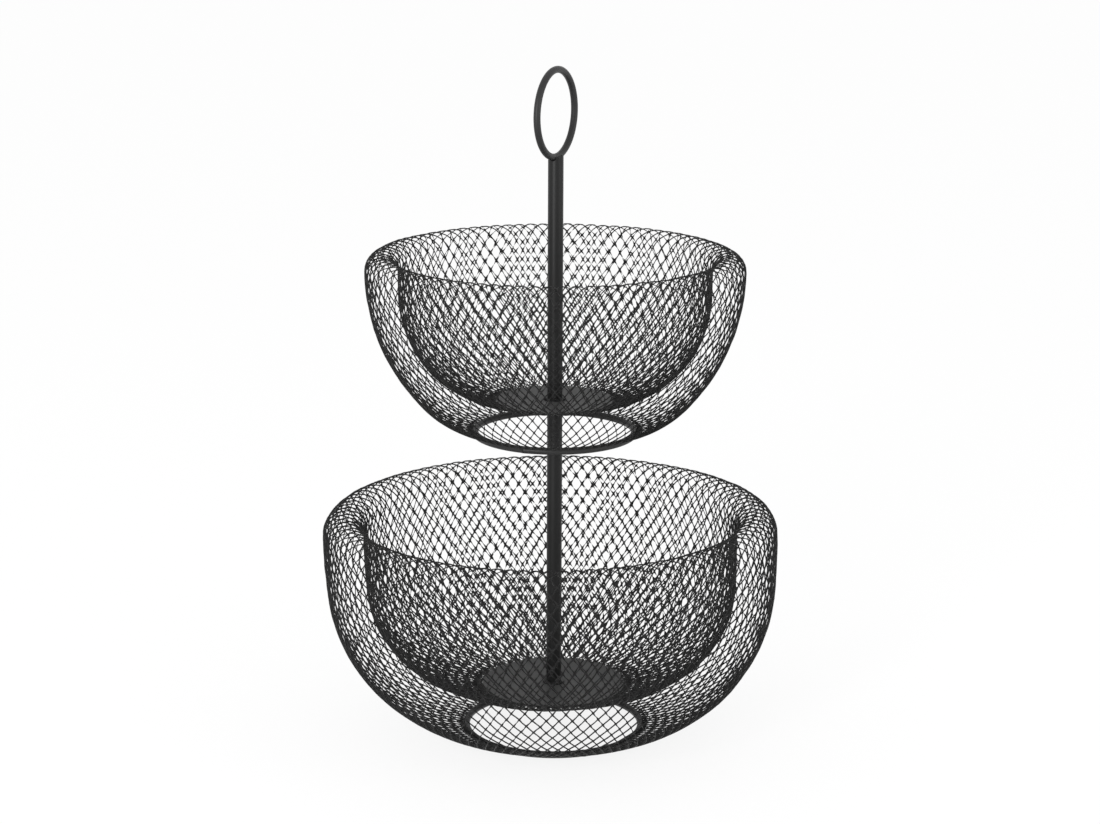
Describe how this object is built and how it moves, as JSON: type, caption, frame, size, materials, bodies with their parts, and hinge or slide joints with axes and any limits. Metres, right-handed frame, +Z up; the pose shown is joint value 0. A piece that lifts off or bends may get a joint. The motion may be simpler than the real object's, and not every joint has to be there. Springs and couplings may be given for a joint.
{
  "type": "tiered basket",
  "caption": "Tiered stand of round double-walled wire mesh baskets on a centre post with a ring handle, for fruit, bread or small goods.",
  "frame": {"origin": "on the floor under the centre post's axis, at the middle of the lower base ring", "axes": "+Z up along the post; the viewer of the picture stands on the -Y side, with +X to their right"},
  "size_m": [0.3, 0.3, 0.4435],
  "materials": {
    "mesh_paint": "black powder coat on expanded metal mesh",
    "disc_paint": "satin black powder coat",
    "wire_paint": "satin black powder coat",
    "tube_paint": "smooth satin black powder coat",
    "zinc_steel": "zinc plated"
  },
  "bodies": {
    "lower_tier": {"lower_mesh": "mesh_paint", "lower_base_ring": "wire_paint", "lower_floor_disc": "disc_paint", "base_screw": "zinc_steel", "base_washer": "tube_paint", "foot_washer": "tube_paint", "lower_post": "tube_paint", "post_foot_insert": "zinc_steel", "post_top_insert": "zinc_steel", "joining_stud": "zinc_steel"},
    "tier_seat": {"seat_washer": "tube_paint"},
    "upper_tier": {"upper_mesh": "mesh_paint", "upper_base_ring": "wire_paint", "upper_floor_disc": "disc_paint"},
    "post_clamp": {"clamp_washer": "tube_paint"},
    "handle": {"upper_post": "tube_paint", "handle_insert": "zinc_steel", "ring_handle": "wire_paint"}
  },
  "joints": [
    {"name": "upper_tier_turn", "type": "hinge", "parent": "lower_tier", "child": "tier_seat", "pos_m": [0, 0, 0.2244], "axis": [0, 0, 1], "continuous": true},
    {"name": "upper_tier_lift", "type": "slide", "parent": "tier_seat", "child": "upper_tier", "axis": [0, 0, 1], "range_m": [0, 0.02]},
    {"name": "handle_unscrew", "type": "hinge", "parent": "upper_tier", "child": "post_clamp", "pos_m": [0, 0, 0.2272], "axis": [0, 0, 1], "range_deg": [0, 2160]},
    {"name": "handle_rise", "type": "slide", "parent": "post_clamp", "child": "handle", "axis": [0, 0, 1], "range_m": [0, 0.0048]}
  ],
  "couplings": [
    {"joint": "handle_rise", "follows": "handle_unscrew", "m_per_rad": 0.00012732}
  ]
}
